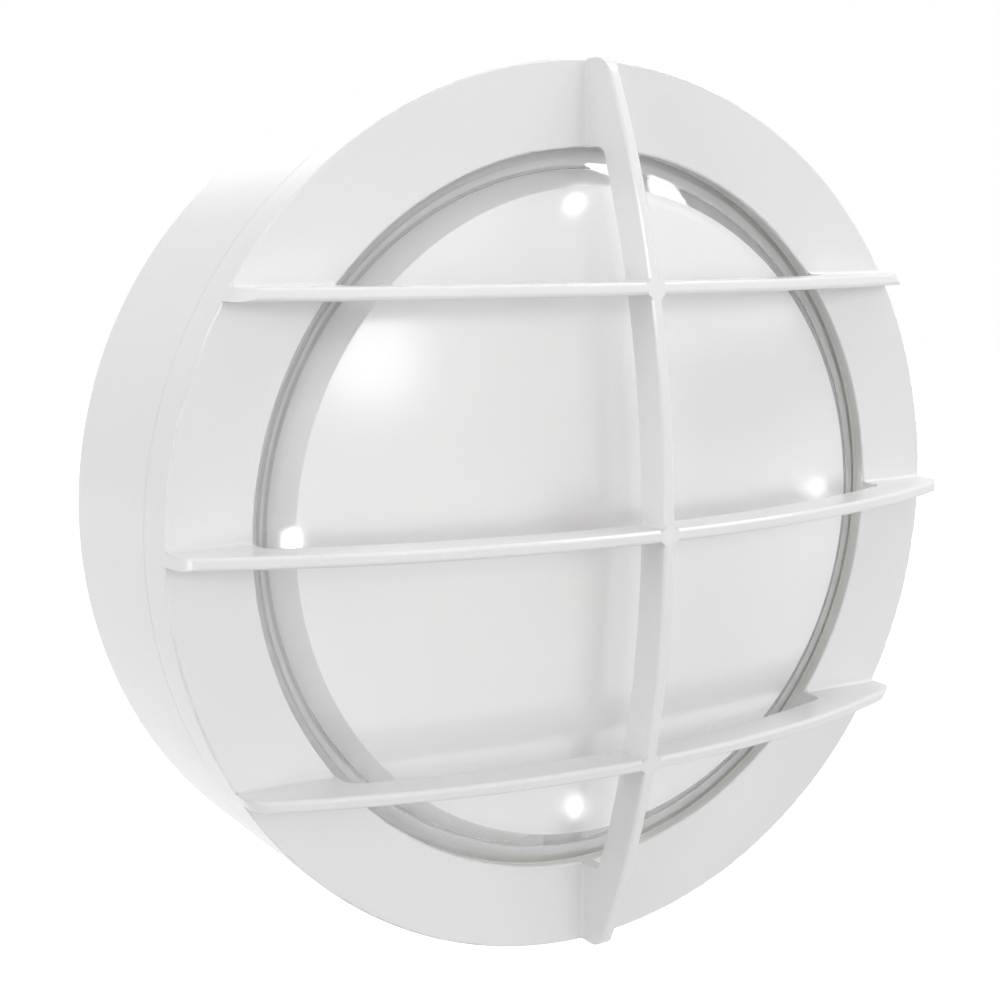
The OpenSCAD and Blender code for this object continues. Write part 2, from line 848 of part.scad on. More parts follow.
// Ring that fills the corner under the ribs' feet, between the window's edge and the undersides
module foot_corner() {
    bite = over / 10;
    corner_r = window_r - rib_foot_r;
    ball_r = under_ball_r - rib_foot_r;
    corner_rise = sqrt(ball_r * ball_r - corner_r * corner_r);
    first = rib_foot_r * corner_r / ball_r;
    translate([0, 0, guard_ball_depth])
        rotate_extrude()
            translate([corner_r + bite, corner_rise + bite])
                difference() {
                    translate([first, 0])
                        square([rib_foot_r + over - first, rib_foot_r + over]);
                    circle(r = rib_foot_r);
                }
}

// One upright and three level ribs with their feet
module guard() {
    clear = rib_t / 2 + rib_root_r;
    reach = body_r + over;
    difference() {
        intersection() {
            rib_slabs();
            guard_ball(guard_ball_r);
            rib_bounds();
        }
        difference() {
            intersection() {
                guard_ball(under_ball_r);
                disc(window_r, ring_back - over, face_depth + rib_reach);
            }
            foot_corner();
        }
        for (row = rib_rows)
            eased_edges(row, [[-reach, -clear], [clear, reach]]);
        rotate(90)
            eased_edges(0, [[-reach, -rib_row - clear], [-rib_row + clear, -clear],
                            [clear, rib_row - clear], [rib_row + clear, reach]]);
    }
    intersection() {
        union() {
            for (row = rib_rows)
                foot_fillets(row);
            rotate(90)
                foot_fillets(0);
        }
        tube(body_r - edge_r, window_r + window_edge_r, ring_back, face_depth + rib_reach);
    }
}

module guard_bezel() {
    color("whitesmoke")
        from_wall()
            difference() {
                union() {
                    rotate_extrude()
                        bezel_section();
                    guard();
                    around(4, clip_circle, clip_angle)
                        disc(clip_boss_r, rim_back, ring_back + over);
                }
                around(4, clip_circle, clip_angle)
                    disc(clip_screw_r + thread_gap, rim_back - over, ring_back - over);
                grub_places()
                    disc(grub_d / 2 + thread_gap, skirt_in_r - over, body_r + over);
            }
}

// Places of the grub screws: top and bottom of the skirt, along the drum's radius
module grub_places() {
    grub_depth = (skirt_end + ring_back) / 2;
    for (turn = [90, -90])
        translate([0, 0, grub_depth])
            rotate([turn, 0, 0])
                children();
}

// Grub screws, each a little below the drum's face and short of the spigot
module bezel_screws() {
    sink = 0.4;
    tip_gap = 0.35;
    key_r = grub_d / 3.6;
    color("silver")
        from_wall()
            grub_places()
                difference() {
                    disc(grub_d / 2, spigot_r + tip_gap, body_r - sink);
                    translate([0, 0, (spigot_r + body_r) / 2])
                        cylinder(r = key_r, h = wall_t, $fn = 6);
                }
}

// Outside of the glass as a filled section: rim, step, sloped band and dome
module glass_outside() {
    square([glass_r, rim_front]);
    polygon([[0, 0], [step_r, 0], [step_r, step_top], [dome_r, face_depth + dome_edge],
             [0, face_depth + dome_edge]]);
    intersection() {
        translate([0, dome_ball_depth])
            circle(r = dome_ball_r, $fn = 720);
        square([dome_r, face_depth + dome_apex + over]);
    }
}

// Hollow of the glass as a filled section, one wall inside the outside
module glass_inside() {
    inner_step_r = step_r - glass_t;
    inner_dome_r = dome_r - glass_t * 0.6;
    inner_ball_r = dome_ball_r - glass_t;
    inner_edge = dome_ball_depth + sqrt(inner_ball_r * inner_ball_r - inner_dome_r * inner_dome_r);
    polygon([[0, 0], [inner_step_r, 0], [inner_step_r, rim_front - glass_t / 2],
             [inner_dome_r, inner_edge], [0, inner_edge]]);
    intersection() {
        translate([0, dome_ball_depth])
            circle(r = inner_ball_r, $fn = 720);
        square([inner_dome_r, face_depth + dome_apex]);
    }
}

module glass() {
    color("aliceblue", 0.5)
        from_wall()
            intersection() {
                rotate_extrude()
                    difference() {
                        glass_outside();
                        glass_inside();
                    }
                disc(glass_r + over, rim_back, face_depth + dome_apex + over);
            }
}

module glass_gasket() {
    color("antiquewhite")
        from_wall()
            tube(glass_r, window_r + seal_gap, rim_front, ring_back);
}

// Flat clips that hold the glass's rim down on its gasket
module glass_clips() {
    inner = glass_r - clip_bite;
    outer = clip_circle + clip_boss_r;
    color("silver")
        from_wall()
            around(4, 0, clip_angle)
                difference() {
                    translate([(inner + outer) / 2, 0, rim_back - clip_t])
                        linear_extrude(clip_t)
                            rounded_plate([outer - inner, clip_w], clip_t);
                    translate([clip_circle, 0, 0])
                        disc(clip_screw_r + hole_gap, rim_back - clip_t - over, rim_back + over);
                }
}

// Screws that point away from the wall into the bosses on the ring's back
module clip_screws() {
    color("silver")
        from_wall()
            around(4, clip_circle, clip_angle)
                translate([0, 0, rim_back - clip_t])
                    rotate([180, 0, 0])
                        pan_screw(clip_screw_r, clip_screw_len, 0);
}

base_housing();
wall_gasket();
cable_grommet();
blanking_plug();
plug_washer();
body_gasket();
gear_tray();
tray_screws();
tray_grommet();
led_board();
led_packages();
board_connector();
board_screws();
led_driver();
driver_screws();
terminal_block();
terminal_screws();
terminal_fixings();
earth_washer();
earth_screw();
mains_leads();
earth_lead();
board_leads();
guard_bezel();
glass();
glass_gasket();
glass_clips();
clip_screws();
bezel_screws();
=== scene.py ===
"""Round bulkhead light: finishes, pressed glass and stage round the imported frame."""

import math

import bmesh
import bpy
import numpy as np
from mathutils import Matrix, Vector


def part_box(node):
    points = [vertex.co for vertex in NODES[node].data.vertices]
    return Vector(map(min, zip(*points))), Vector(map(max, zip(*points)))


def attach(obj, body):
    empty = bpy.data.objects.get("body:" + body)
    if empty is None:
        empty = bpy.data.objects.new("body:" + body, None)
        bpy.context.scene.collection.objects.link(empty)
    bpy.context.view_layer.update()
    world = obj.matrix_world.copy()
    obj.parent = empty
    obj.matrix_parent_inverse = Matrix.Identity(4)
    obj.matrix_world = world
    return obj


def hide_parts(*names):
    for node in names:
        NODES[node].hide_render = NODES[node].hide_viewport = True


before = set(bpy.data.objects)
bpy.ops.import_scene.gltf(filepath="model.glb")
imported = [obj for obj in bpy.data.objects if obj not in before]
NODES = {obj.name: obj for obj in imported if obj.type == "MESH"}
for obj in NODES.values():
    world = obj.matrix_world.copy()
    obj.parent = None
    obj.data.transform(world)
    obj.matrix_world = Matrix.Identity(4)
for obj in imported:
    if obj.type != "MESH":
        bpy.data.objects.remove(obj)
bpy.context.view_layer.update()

bl_info = {
    "name": "Round Bulkhead Light",
    "version": (1, 0, 0),
    "blender": (4, 5, 0),
    "location": "3D View > Sidebar > Light",
    "description": "Finishes, pressed glass and studio for a guarded wall light",
    "category": "Object",
}

MM = 0.001

# Pressed glass
TURNS = 224                 # points round the axis
DOME_POINTS = 60            # points from the axis to the dome's edge
EDGE_ROUND = 0.6 * MM       # rim's edges and the step's foot
STEP_ROUND = 0.8 * MM       # step's top and the bore's edge
DOME_ROUND = 1.5 * MM       # edges of the dome and its inner corners
INNER_SHARE = 0.6           # how far the dome's inner edge lies in, as a share of the wall
CLEAR, OUTSIDE, INSIDE, GROUND = range(4)   # material slots
GLASS_IOR = 1.5
LAMP_PASS = 0.85            # share of lamp light that runs straight through the glass

# Tray screws and the painted glint on their heads
HEAD_R = 4 * MM
GLOW_FULL = 1.6 * MM        # the glow is whole up to here from a screw's axis
GLOW_END = 2.6 * MM         # and gone from here
# strength of the painted glint's emission
GLOW = 12.0

# Stage
BLACK = (0, 0, 0, 1)
WHITE = (1, 1, 1, 1)
FLOOR_HALF = 12.0
EVEN_GLOW = 0.5
PATCH_EDGE = (0.9, 0.985)   # cosines at a patch's outer and inner edge
PATCHES = (                 # strength and direction: front, right, left, above
    (2.8, (0.12, -0.99, 0.08)),
    (1.7, (0.8, -0.6, 0)),
    (2.35, (-0.9, 0, 0.436)),
    (1.6, (0, 0, 1)),
)
LAMPS = (                   # name, place, width in metres, power in watts
    ("front_box", (-0.11, -1.35, 0.385), 0.36, 0.8),
    ("top_box", (0.79, -0.24, 1.22), 0.4, 5.5),
    ("left_box", (-1.15, -0.67, -0.22), 0.28, 1.5),
    ("back_box", (0.45, 1.4, 0.55), 1.0, 2.0),
    ("glint_side", (-1.1, -0.7, 0.48), 0.42, 5.0),
    ("glint_right", (1.0, -0.3, 0.91), 0.2, 0.9),
)


# Sizes that follow from the frame, in metres
def reach(node):
    """Outer radius of a round node: half its width."""
    low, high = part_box(node)
    return (high[0] - low[0]) / 2


def depths(node):
    """Distances from the wall of a node's back and front; the light faces -Y."""
    low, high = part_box(node)
    return -high[1], -low[1]


class LightSizes(bpy.types.PropertyGroup):
    """Sizes that a maker would change."""

    glass_wall: bpy.props.FloatProperty(
        name="Glass wall", description="Thickness of the pressed glass", default=5 * MM,
        subtype="DISTANCE")
    seat: bpy.props.FloatProperty(
        name="Seat", description="How far the rim reaches under the ring", default=6.75 * MM,
        subtype="DISTANCE")
    step_inset: bpy.props.FloatProperty(
        name="Step inset", description="From the window's edge in to the band's foot",
        default=2.75 * MM, subtype="DISTANCE")
    step_height: bpy.props.FloatProperty(
        name="Step height", description="Height of the step at the band's foot", default=2.2 * MM,
        subtype="DISTANCE")
    band_width: bpy.props.FloatProperty(
        name="Band width", description="Width of the sloped band round the dome", default=9 * MM,
        subtype="DISTANCE")
    dome_rise: bpy.props.FloatProperty(
        name="Dome rise", description="Height of the dome over its own edge", default=16.2 * MM,
        subtype="DISTANCE")
    floor_drop: bpy.props.FloatProperty(
        name="Floor drop", description="Height of the light's middle over the floor", default=1.1,
        subtype="DISTANCE")
    focal: bpy.props.FloatProperty(
        name="Lens", description="Focal length of the camera in millimetres", default=62.605)
    camera_at: bpy.props.FloatVectorProperty(
        name="Camera", description="Place of the camera", default=(-0.29971, -0.52756, 0.09104),
        subtype="TRANSLATION", precision=5)
    camera_turn: bpy.props.FloatVectorProperty(
        name="Camera turn",
        description="Yaw to the right, pitch and roll of the camera, in degrees",
        default=(30.6636, -9.0471, -0.1512))


class LightColours(bpy.types.PropertyGroup):
    """Colours that a maker would change."""

    coat: bpy.props.FloatVectorProperty(
        name="Coat", description="Powder coat of the castings", default=(0.78, 0.78, 0.78),
        subtype="COLOR")
    sheet: bpy.props.FloatVectorProperty(
        name="Tray", description="Paint of the tray", default=(0.9, 0.9, 0.89), subtype="COLOR")
    glass: bpy.props.FloatVectorProperty(
        name="Glass", description="Tint of the glass", default=(0.97, 0.975, 0.975),
        subtype="COLOR")
    seal: bpy.props.FloatVectorProperty(
        name="Seals", description="Rubber of the seals", default=(0.09, 0.09, 0.09),
        subtype="COLOR")
    silicone: bpy.props.FloatVectorProperty(
        name="Glass gasket", description="Silicone of the ring under the glass",
        default=(0.82, 0.77, 0.7), subtype="COLOR")


# Shader maths
class Value:
    """A number in a node tree. Arithmetic on it adds Math nodes."""

    def __init__(self, tree, socket):
        self.tree = tree
        self.socket = socket

    def math(self, operation, *others):
        """Result of a Math node on this value and others."""
        return self.tree.add("ShaderNodeMath", {"operation": operation}, [self, *others]).out()

    def flipped(self, operation, other):
        """Result of a Math node whose first input is a plain number."""
        return self.tree.add("ShaderNodeMath", {"operation": operation}, [other, self]).out()

    def __add__(self, other):
        return self.math("ADD", other)

    def __sub__(self, other):
        return self.math("SUBTRACT", other)

    def __mul__(self, other):
        return self.math("MULTIPLY", other)

    def __radd__(self, other):
        return self.flipped("ADD", other)

    def __rsub__(self, other):
        return self.flipped("SUBTRACT", other)

    def __rmul__(self, other):
        return self.flipped("MULTIPLY", other)

    def smooth(self, low, high):
        """0 below low, 1 above high and a smooth step between."""
        return self.tree.add("ShaderNodeMapRange", {"interpolation_type": "SMOOTHSTEP"},
                             {"Value": self, "From Min": low, "From Max": high}).out()


class Part:
    """A node that was added to a tree."""

    def __init__(self, tree, node):
        self.tree = tree
        self.node = node

    def out(self, name=0):
        """One of the node's outputs as a value."""
        return Value(self.tree, self.node.outputs[name])


class Tree:
    """A material's or the world's node tree, emptied and filled from nothing."""

    def __init__(self, owner):
        owner.use_nodes = True
        self.links = owner.node_tree.links
        self.nodes = owner.node_tree.nodes
        self.nodes.clear()

    def add(self, kind, settings=None, inputs=()):
        """Adds a node: first its settings, then its inputs' values or links by name or place."""
        node = self.nodes.new(kind)
        for name, value in (settings or {}).items():
            setattr(node, name, value)
        pairs = inputs.items() if isinstance(inputs, dict) else enumerate(inputs)
        for key, value in pairs:
            if isinstance(value, Value):
                self.links.new(value.socket, node.inputs[key])
            else:
                node.inputs[key].default_value = value
        return Part(self, node)

    def place(self):
        """The object's own coordinates, in metres."""
        return self.add("ShaderNodeTexCoord").out("Object")

    def noise(self, size, detail=2.0, rough=0.5):
        """Noise whose grains are about that size, in metres."""
        return self.add("ShaderNodeTexNoise", None,
                        {"Vector": self.place(), "Scale": 1 / size, "Detail": detail,
                         "Roughness": rough}).out("Fac")

    def mix(self, share, first, second):
        """Colour between two colours."""
        node = self.add("ShaderNodeMix", {"data_type": "RGBA"}, {0: share, 6: first, 7: second})
        return node.out(2)

    def bump(self, height, strength, distance, normal=None):
        """Normal of a surface with that height over it, or over another normal."""
        inputs = {"Height": height, "Strength": strength, "Distance": distance}
        if normal is not None:
            inputs["Normal"] = normal
        return self.add("ShaderNodeBump", None, inputs).out()


def rgba(colour):
    """A colour with full cover."""
    return (*colour, 1.0)


def shade(colour, factor):
    """A darker or paler tone of a colour."""
    return rgba([min(1.0, c * factor) for c in colour])


def surface(name, build):
    """A new material whose Principled shader takes the inputs that build gives for its tree."""
    material = bpy.data.materials.new(name)
    tree = Tree(material)
    shader = tree.add("ShaderNodeBsdfPrincipled", None, build(tree))
    tree.add("ShaderNodeOutputMaterial", None, {"Surface": shader.out()})
    return material


def dress(material, *names):
    """Gives CAD nodes that finish."""
    for name in names:
        NODES[name].material_slots[0].material = material


# Finishes
def powder_coat(colour):
    """White powder coat: fine orange peel under a soft gloss."""
    def build(tree):
        grain = tree.noise(0.5 * MM, 1.0)
        peel = tree.noise(3.5 * MM, 1.0)
        drift = tree.noise(60 * MM, 1.0)
        soft_edge = tree.add("ShaderNodeBevel", {"samples": 4}, {"Radius": 0.35 * MM}).out()
        tone = drift * 0.3 + grain * 0.7
        return {"Base Color": tree.mix(tone, shade(colour, 0.94), shade(colour, 1.05)),
                "Roughness": 0.15 + 0.1 * grain,
                "Normal": tree.bump(grain + peel * 0.6, 0.8, 0.03 * MM, soft_edge)}
    return surface("powder_coat", build)


def gloss_paint(name, colour, rough):
    """Smooth paint or solder mask with a faint unevenness."""
    def build(tree):
        drift = tree.noise(25 * MM, 2.0)
        return {"Base Color": tree.mix(drift, shade(colour, 0.97), shade(colour, 1.02)),
                "Roughness": rough + 0.1 * tree.noise(2 * MM)}
    return surface(name, build)


def moulding(name, colour, rough):
    """Moulded plastic with a fine spark texture."""
    def build(tree):
        grain = tree.noise(0.5 * MM, 2.0)
        drift = tree.noise(12 * MM)
        return {"Base Color": tree.mix(drift, shade(colour, 0.94), shade(colour, 1.03)),
                "Roughness": rough + 0.12 * grain,
                "Normal": tree.bump(grain, 0.25, 0.04 * MM)}
    return surface(name, build)


def plate_inputs(tree, colour, rough):
    """Shader inputs of plated metal with fine clouding."""
    cloud = tree.noise(1.2 * MM, 4.0, 0.6)
    return {"Base Color": tree.mix(cloud, shade(colour, 0.85), shade(colour, 1.08)),
            "Metallic": 1.0, "Roughness": rough + 0.18 * cloud}


def plated(name, colour, rough):
    """Plated metal of screws, clips and washers."""
    return surface(name, lambda tree: plate_inputs(tree, colour, rough))


def painted_glint_plate(name, colour, rough, circle):
    """Plated screws on a circle, one on each axis. The middle of each head glows as a painted
    glint, which stands for the lamp light that it throws back through the glass."""
    def build(tree):
        place = tree.add("ShaderNodeSeparateXYZ", None, [tree.place()])
        across, up = place.out("X").math("ABSOLUTE"), place.out("Z").math("ABSOLUTE")
        along = across.math("MAXIMUM", up) - circle
        aside = across.math("MINIMUM", up)
        from_axis = (along * along + aside * aside).math("SQRT")
        # Painted highlight: a white emission at the middle of each screw head.
        middle = 1 - from_axis.smooth(GLOW_FULL, GLOW_END)
        return {**plate_inputs(tree, colour, rough),
                "Emission Color": tree.mix(middle, BLACK, WHITE), "Emission Strength": GLOW}
    return surface(name, build)


def rubber(name, colour):
    """Matt seal rubber."""
    def build(tree):
        grain = tree.noise(0.4 * MM, 3.0)
        return {"Base Color": tree.mix(grain, shade(colour, 0.8), shade(colour, 1.25)),
                "Roughness": 0.6 + 0.2 * grain,
                "Normal": tree.bump(grain, 0.3, 0.03 * MM)}
    return surface(name, build)


def cover(tree):
    """How much the glass stops: everything, but little of what runs straight to a lamp, so that
    lamp light reaches the tray."""
    return 1 - LAMP_PASS * tree.add("ShaderNodeLightPath").out("Is Shadow Ray")


def clear_glass(colour):
    """Polished clear glass of the rim and the band."""
    def build(tree):
        ripple = tree.noise(9 * MM, 1.0)
        return {"Base Color": rgba(colour), "Roughness": 0.05, "IOR": GLASS_IOR,
                "Transmission Weight": 1.0, "Alpha": cover(tree),
                "Normal": tree.bump(ripple, 0.05, 0.05 * MM)}
    return surface("clear_glass", build)


def dome_outside(colour):
    """Outer face of the dome: polished, with the press's fine grain."""
    def build(tree):
        grain = tree.noise(0.7 * MM, 1.0)
        return {"Base Color": shade(colour, 0.87), "Roughness": 0.3 + 0.1 * grain,
                "IOR": GLASS_IOR, "Transmission Weight": 0.3,
                "Coat Weight": 1.0, "Coat Roughness": 0.2, "Coat IOR": 2.0,
                "Alpha": cover(tree), "Normal": tree.bump(grain, 0.08, 0.03 * MM)}
    return surface("dome_outside", build)


def dome_inside(colour):
    """Inner face of the dome: satin, so that it scatters and carries light."""
    def build(tree):
        grain = tree.noise(0.5 * MM, 2.0)
        return {"Base Color": rgba(colour), "Roughness": 0.4 + 0.1 * grain,
                "IOR": GLASS_IOR, "Transmission Weight": 0.95, "Alpha": cover(tree),
                "Normal": tree.bump(grain, 0.1, 0.03 * MM)}
    return surface("dome_inside", build)


def ground_back(colour):
    """Ground back and outer edge of the rim, a dense white under the clear glass."""
    def build(tree):
        grain = tree.noise(0.5 * MM, 2.0)
        return {"Base Color": tree.mix(grain, shade(colour, 0.94), rgba(colour)),
                "Roughness": 0.5, "IOR": GLASS_IOR, "Transmission Weight": 0.2,
                "Alpha": cover(tree)}
    return surface("ground_back", build)


# Shapes
def corner(before, at, after, radius, steps=6):
    """Arc that rounds a corner of an outline: it touches both sides at radius / tan(half the
    corner's angle) from the corner, and its points are spread evenly round its middle."""
    to_before = (before - at) / np.linalg.norm(before - at)
    to_after = (after - at) / np.linalg.norm(after - at)
    half = math.acos(float(np.clip(to_before @ to_after, -1, 1))) / 2
    halving = (to_before + to_after) / np.linalg.norm(to_before + to_after)
    middle = at + halving * radius / math.sin(half)
    start = at + to_before * radius / math.tan(half) - middle
    end = at + to_after * radius / math.tan(half) - middle
    share = np.linspace(0, 1, steps + 1)[:, None]
    spread = math.pi - 2 * half
    turned = np.sin((1 - share) * spread) * start + np.sin(share * spread) * end
    return middle + turned / math.sin(spread)


def rounded(points, radii):
    """Outline through points in which each inner point with a radius becomes an arc."""
    points = [np.array(p, float) for p in points]
    pieces = [points[:1]]
    for i in range(1, len(points) - 1):
        if radii[i] > 0:
            pieces.append(corner(points[i - 1], points[i], points[i + 1], radii[i]))
        else:
            pieces.append(points[i:i + 1])
    pieces.append(points[-1:])
    return np.concatenate(pieces)


def revolve(outline, turns=TURNS):
    """Surface of an outline (radius, distance from the wall) turned round the light's axis: each
    point runs on the circle (r cos a, -d, r sin a). The outline's ends lie on the axis and are
    poles."""
    angle = np.linspace(0, 2 * math.pi, turns, endpoint=False)
    ring = outline[1:-1]
    grid = np.stack([np.outer(ring[:, 0], np.cos(angle)),
                     np.repeat(-ring[:, 1:2], turns, axis=1),
                     np.outer(ring[:, 0], np.sin(angle))], axis=-1)
    poles = np.array([[0, -outline[0, 1], 0], [0, -outline[-1, 1], 0]])
    points = np.concatenate([grid.reshape(-1, 3), poles])
    rows = len(ring)
    here = np.arange(rows * turns).reshape(rows, turns)
    ahead = np.roll(here, -1, axis=1)
    quads = np.stack([here[:-1], ahead[:-1], ahead[1:], here[1:]], axis=-1).reshape(-1, 4)
    first = np.stack([np.full(turns, rows * turns), ahead[0], here[0]], axis=-1)
    last = np.stack([np.full(turns, rows * turns + 1), here[-1], ahead[-1]], axis=-1)
    return points, quads.tolist() + first.tolist() + last.tolist()


def new_piece(name, points, faces, materials):
    """Mesh object at the origin with smooth, outward faces."""
    mesh = bpy.data.meshes.new(name)
    mesh.from_pydata(points.tolist(), [], faces)
    shape = bmesh.new()
    shape.from_mesh(mesh)
    bmesh.ops.recalc_face_normals(shape, faces=shape.faces)
    shape.to_mesh(mesh)
    shape.free()
    mesh.polygons.foreach_set("use_smooth", np.ones(len(mesh.polygons), bool))
    for material in materials:
        mesh.materials.append(material)
    piece = bpy.data.objects.new(name, mesh)
    bpy.context.scene.collection.objects.link(piece)
    return piece


def arc_points(radius, middle, start, end, count):
    """Points of a ball's outline: r runs from start to end, at middle + sqrt(radius^2 - r^2)."""
    r = np.linspace(start, end, count)
    return np.stack([r, middle + np.sqrt(radius * radius - r * r)], axis=-1)


# Operators
class LIGHT_OT_castings(bpy.types.Operator):
    """Powder-coats the housing, the bezel with its guard and the side plug."""

    bl_idname = "light.castings"
    bl_label = "Castings"

    def execute(self, context):
        coat = powder_coat(context.scene.light_colours.coat)
        dress(coat, "base_housing", "guard_bezel", "blanking_plug")
        return {"FINISHED"}


class LIGHT_OT_glass(bpy.types.Operator):
    """Turns the pressed glass: rim, step, sloped band and dome, with rounded edges."""

    bl_idname = "light.glass"
    bl_label = "Glass"

    def execute(self, context):
        sizes = context.scene.light_sizes
        wall = sizes.glass_wall
        rim_r = reach("glass")
        back, apex = depths("glass")
        front = back + wall
        step_r = rim_r - sizes.seat - sizes.step_inset
        dome_r = step_r - sizes.band_width
        edge = apex - sizes.dome_rise
        ball = (dome_r ** 2 + sizes.dome_rise ** 2) / (2 * sizes.dome_rise)
        middle = apex - ball
        inner_ball = ball - wall
        inner_r = dome_r - INNER_SHARE * wall
        inner_edge = middle + math.sqrt(inner_ball ** 2 - inner_r ** 2)
        bore_r = step_r - wall
        outside = arc_points(ball, middle, 0, dome_r, DOME_POINTS)
        inside = arc_points(inner_ball, middle, inner_r, 0, DOME_POINTS)
        lip = [outside[-2], (dome_r, edge), (step_r, front + sizes.step_height), (step_r, front),
               (rim_r, front), (rim_r, back), (bore_r, back), (bore_r, front - wall / 2),
               (inner_r, inner_edge), inside[1]]
        radii = [0, DOME_ROUND, STEP_ROUND, EDGE_ROUND,
                 EDGE_ROUND, EDGE_ROUND, STEP_ROUND, DOME_ROUND,
                 DOME_ROUND, 0]
        outline = np.concatenate([outside[:-2], rounded(lip, radii), inside[2:]])
        colour = context.scene.light_colours.glass
        points, faces = revolve(outline)
        glass = new_piece("pressed_glass", points, faces,
                          [clear_glass(colour), dome_outside(colour),
                           dome_inside(colour), ground_back(colour)])
        glass.data.polygons.foreach_set("material_index", self.slots(outline, dome_r, bore_r))
        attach(glass, "front")
        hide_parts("glass")
        return {"FINISHED"}

    def slots(self, outline, dome_r, bore_r):
        """Material slot of each face, row by row and then at the two poles. The faces from the
        rim's outer edge on are the inside: satin within the bore, ground on the rim. Those before
        it are the outside: satin over the dome, clear on the band and the rim."""
        row = (outline[1:-2] + outline[2:-1]) / 2
        on_inside = np.arange(len(row)) >= np.argmax(outline[:, 0]) - 1
        satin = row[:, 0] < np.where(on_inside, bore_r - 0.1 * MM, dome_r + 1 * MM)
        slot = np.where(satin, np.where(on_inside, INSIDE, OUTSIDE),
                        np.where(on_inside, GROUND, CLEAR))
        return np.concatenate([np.repeat(slot, TURNS), np.full(TURNS, OUTSIDE),
                               np.full(TURNS, INSIDE)])


class LIGHT_OT_seals(bpy.types.Operator):
    """Rubber finish of every gasket, washer and grommet."""

    bl_idname = "light.seals"
    bl_label = "Seals"

    def execute(self, context):
        colours = context.scene.light_colours
        dress(rubber("black_rubber", colours.seal), "wall_gasket", "cable_grommet", "plug_washer",
              "body_gasket", "tray_grommet")
        dress(rubber("pale_silicone", colours.silicone), "glass_gasket")
        return {"FINISHED"}


class LIGHT_OT_tray(bpy.types.Operator):
    """Finishes of the tray, the light board and what sits on it."""

    bl_idname = "light.tray"
    bl_label = "Tray and board"

    def execute(self, context):
        colour = context.scene.light_colours.sheet
        dress(gloss_paint("tray_paint", colour, 0.2), "gear_tray")
        dress(gloss_paint("solder_mask", colour, 0.3), "led_board")
        dress(gloss_paint("phosphor", (0.85, 0.72, 0.3), 0.3), "led_packages")
        return {"FINISHED"}


class LIGHT_OT_gear(bpy.types.Operator):
    """Plastics of the driver, the terminal block and the board's connector."""

    bl_idname = "light.gear"
    bl_label = "Driver and block"

    def execute(self, context):
        dress(moulding("driver_case", (0.78, 0.78, 0.77), 0.45), "led_driver")
        dress(moulding("ivory_plastic", (0.82, 0.8, 0.72), 0.4),
              "terminal_block", "board_connector")
        return {"FINISHED"}


class LIGHT_OT_fasteners(bpy.types.Operator):
    """Zinc and brass of the screws, clips and washers."""

    bl_idname = "light.fasteners"
    bl_label = "Fasteners"

    def execute(self, context):
        circle = reach("tray_screws") - HEAD_R
        # The tray screws get a painted glint: the middle of each head glows.
        dress(painted_glint_plate("bright_zinc", (0.93, 0.93, 0.93), 0.1, circle), "tray_screws")
        dress(plated("zinc_plate", (0.72, 0.73, 0.74), 0.22), "board_screws", "driver_screws",
              "terminal_screws", "terminal_fixings", "glass_clips", "clip_screws", "bezel_screws")
        dress(plated("brass", (0.78, 0.6, 0.28), 0.25), "earth_washer", "earth_screw")
        return {"FINISHED"}


class LIGHT_OT_leads(bpy.types.Operator):
    """Sleeves of the leads."""

    bl_idname = "light.leads"
    bl_label = "Leads"

    def execute(self, context):
        dress(moulding("brown_sleeve", (0.2, 0.09, 0.04), 0.4), "mains_leads")
        dress(moulding("earth_sleeve", (0.35, 0.5, 0.08), 0.4), "earth_lead")
        dress(moulding("red_sleeve", (0.5, 0.05, 0.04), 0.4), "board_leads")
        return {"FINISHED"}


def seen(tree):
    """1 for rays from the camera and for mirrored or refracted ones, 0 for scattered light."""
    path = tree.add("ShaderNodeLightPath")
    direct = path.out("Is Camera Ray").math("MAXIMUM", path.out("Is Glossy Ray"))
    return direct.math("MAXIMUM", path.out("Is Transmission Ray"))


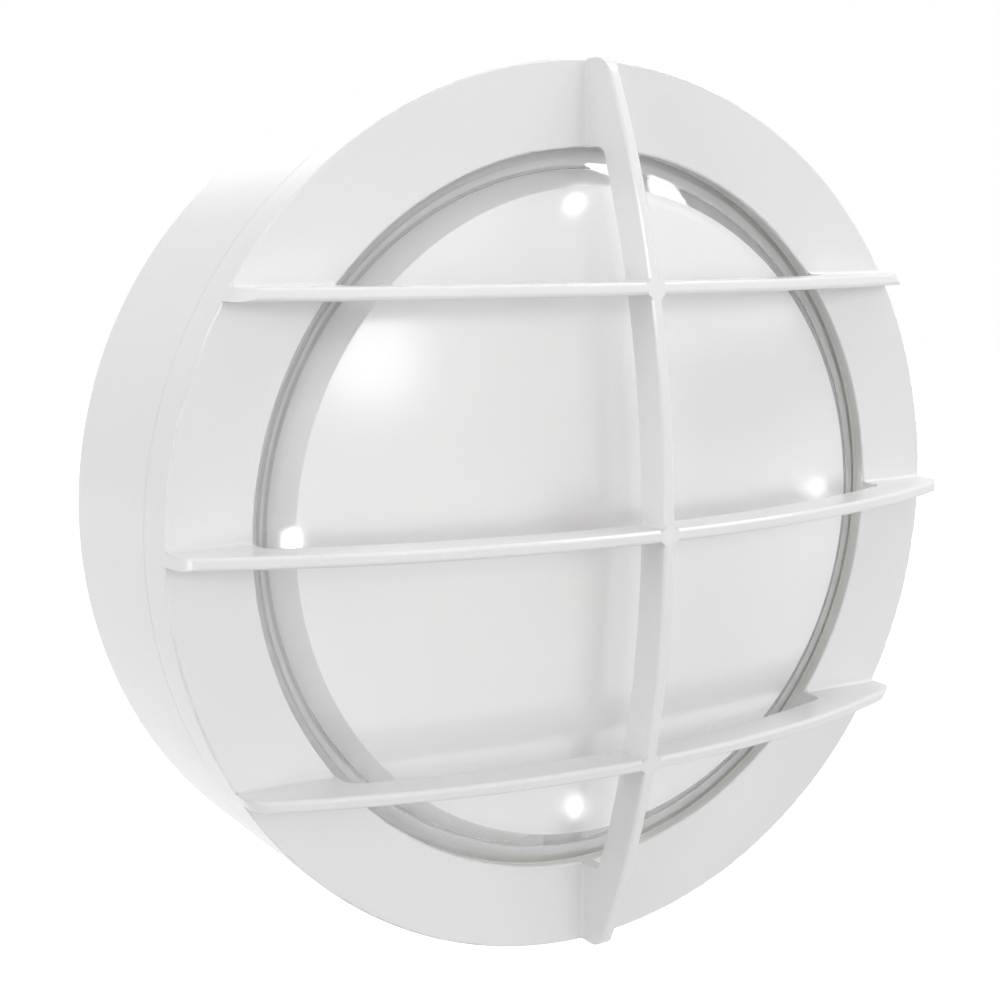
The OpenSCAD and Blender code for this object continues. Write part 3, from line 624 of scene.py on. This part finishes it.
class LIGHT_OT_stage(bpy.types.Operator):
    """Camera at the photograph's angle, white surroundings, soft lamps and a pale floor."""

    bl_idname = "light.stage"
    bl_label = "Stage"

    def execute(self, context):
        scene = context.scene
        scene.view_settings.view_transform = "Standard"
        self.camera(scene)
        self.sky(scene)
        self.lamps(scene)
        self.floor(scene)
        return {"FINISHED"}

    def camera(self, scene):
        """Looks along yaw, pitch and roll from the measured place."""
        sizes = scene.light_sizes
        yaw, pitch, roll = (math.radians(a) for a in sizes.camera_turn)
        ahead = Vector((math.sin(yaw) * math.cos(pitch), math.cos(yaw) * math.cos(pitch),
                        math.sin(pitch)))
        right = Vector((math.cos(yaw), -math.sin(yaw), 0))
        up = right.cross(ahead)
        turned_right = math.cos(roll) * right + math.sin(roll) * up
        turned_up = math.cos(roll) * up - math.sin(roll) * right
        data = bpy.data.cameras.new("camera")
        data.lens = sizes.focal
        data.clip_start = 0.01
        camera = bpy.data.objects.new("camera", data)
        turn = Matrix((turned_right, turned_up, -ahead)).transposed()
        camera.matrix_world = Matrix.Translation(Vector(sizes.camera_at)) @ turn.to_4x4()
        scene.collection.objects.link(camera)
        scene.camera = camera

    def sky(self, scene):
        """White where it is seen or mirrored. What it lights gets an even glow and soft patches of
        light from the front, the right, the left and above."""
        world = bpy.data.worlds.new("studio")
        scene.world = world
        tree = Tree(world)
        direction = tree.add("ShaderNodeTexCoord").out("Generated")

        light = EVEN_GLOW
        for strength, axis in PATCHES:
            along = tree.add("ShaderNodeVectorMath", {"operation": "DOT_PRODUCT"},
                             [direction, axis]).out("Value")
            light = light + strength * along.smooth(*PATCH_EDGE)
        level = light + seen(tree) * (1 - light)
        sky = tree.add("ShaderNodeBackground", None, {"Color": WHITE, "Strength": level})
        tree.add("ShaderNodeOutputWorld", None, {"Surface": sky.out()})

    def lamps(self, scene):
        """Soft boxes: one in front of the dome, one over the ribs, one on the left and one behind
        the drum. Those named glint only draw bright lines, on the upright's edge and on the glass's
        band."""
        for name, place, size, power in LAMPS:
            data = bpy.data.lights.new(name, "AREA")
            data.shape = "DISK"
            data.size = size
            data.energy = power
            lamp = bpy.data.objects.new(name, data)
            lamp.location = place
            lamp.visible_transmission = False
            lamp.visible_diffuse = not name.startswith("glint")
            lamp.rotation_euler = Vector(place).to_track_quat("Z", "Y").to_euler()
            scene.collection.objects.link(lamp)

    def floor(self, scene):
        """Flat pale floor, a grid of two by two points."""
        corners = np.array([[-1, -1, 0], [1, -1, 0], [1, 1, 0], [-1, 1, 0]])
        points = corners * FLOOR_HALF - np.array([0, 0, scene.light_sizes.floor_drop])
        paint = surface("floor_paint", self.floor_paint)
        floor = new_piece("floor", points, [[0, 1, 2, 3]], [paint])

    def floor_paint(self, tree):
        """Pale paint: white where it is seen or mirrored, greyer for the light it throws back."""
        glow = seen(tree)
        return {"Base Color": tree.mix(glow, (0.5, 0.5, 0.5, 1), (0.97, 0.97, 0.97, 1)),
                "Roughness": 0.7 + 0.1 * tree.noise(0.05),
                "Emission Color": tree.mix(glow, BLACK, (0.35, 0.35, 0.35, 1)),
                "Emission Strength": 1.0}


class LIGHT_PT_panel(bpy.types.Panel):
    """Lists the light's pieces and the values that shape them."""

    bl_label = "Round bulkhead light"
    bl_idname = "LIGHT_PT_panel"
    bl_space_type = "VIEW_3D"
    bl_region_type = "UI"
    bl_category = "Light"

    def draw(self, context):
        for operator in STEPS:
            self.layout.operator(operator.bl_idname)
        for group in (context.scene.light_sizes, context.scene.light_colours):
            for name in group.__annotations__:
                self.layout.prop(group, name)


STEPS = (LIGHT_OT_stage, LIGHT_OT_castings, LIGHT_OT_glass, LIGHT_OT_seals, LIGHT_OT_tray,
         LIGHT_OT_gear, LIGHT_OT_fasteners, LIGHT_OT_leads)
CLASSES = (LightSizes, LightColours, *STEPS, LIGHT_PT_panel)


def register():
    """Registers the classes and hangs their values on the scene."""
    for kind in CLASSES:
        bpy.utils.register_class(kind)
    bpy.types.Scene.light_sizes = bpy.props.PointerProperty(type=LightSizes)
    bpy.types.Scene.light_colours = bpy.props.PointerProperty(type=LightColours)


def unregister():
    """Takes the values and the classes away."""
    del bpy.types.Scene.light_colours
    del bpy.types.Scene.light_sizes
    for kind in reversed(CLASSES):
        bpy.utils.unregister_class(kind)


def main():
    """Makes every piece in order."""
    register()
    bpy.ops.light.stage()
    bpy.ops.light.castings()
    bpy.ops.light.glass()
    bpy.ops.light.seals()
    bpy.ops.light.tray()
    bpy.ops.light.gear()
    bpy.ops.light.fasteners()
    bpy.ops.light.leads()


if __name__ == "__main__":
    main()
